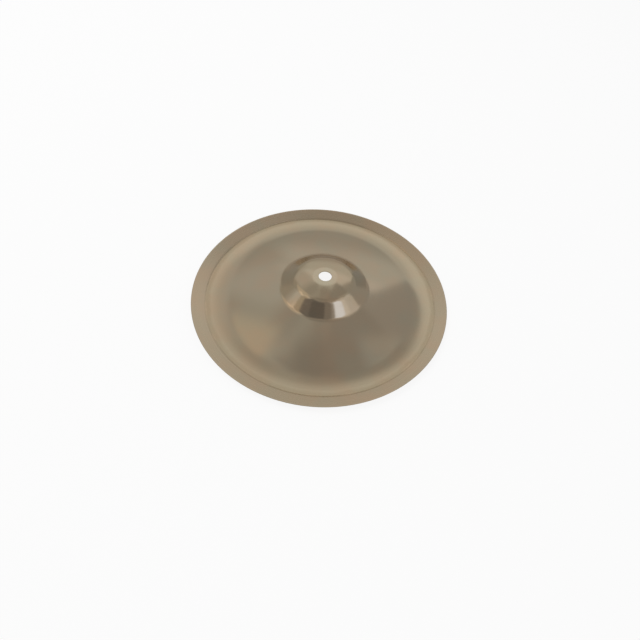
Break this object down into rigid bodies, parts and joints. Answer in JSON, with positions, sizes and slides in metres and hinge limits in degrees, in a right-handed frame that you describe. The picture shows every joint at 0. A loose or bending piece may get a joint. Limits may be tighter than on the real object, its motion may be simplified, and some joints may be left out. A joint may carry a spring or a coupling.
{
  "type": "china cymbal",
  "caption": "Small bronze china cymbal: a thin turned disc with a conical bell, shallow bow, flat valley and upturned rim, hung on a stand rod through its centre hole.",
  "frame": {"origin": "on the cymbal's axis, in the plane of the flat ring under the valley that it rests on", "axes": "+Z along the axis, from the rest plane up through the bell; X and Y are free, because the shape is the same all round"},
  "size_m": [0.254, 0.254, 0.028],
  "materials": {
    "bronze": "polished bell bronze, finely lathed"
  },
  "bodies": {
    "root": {"cymbal": "bronze"}
  },
  "joints": []
}
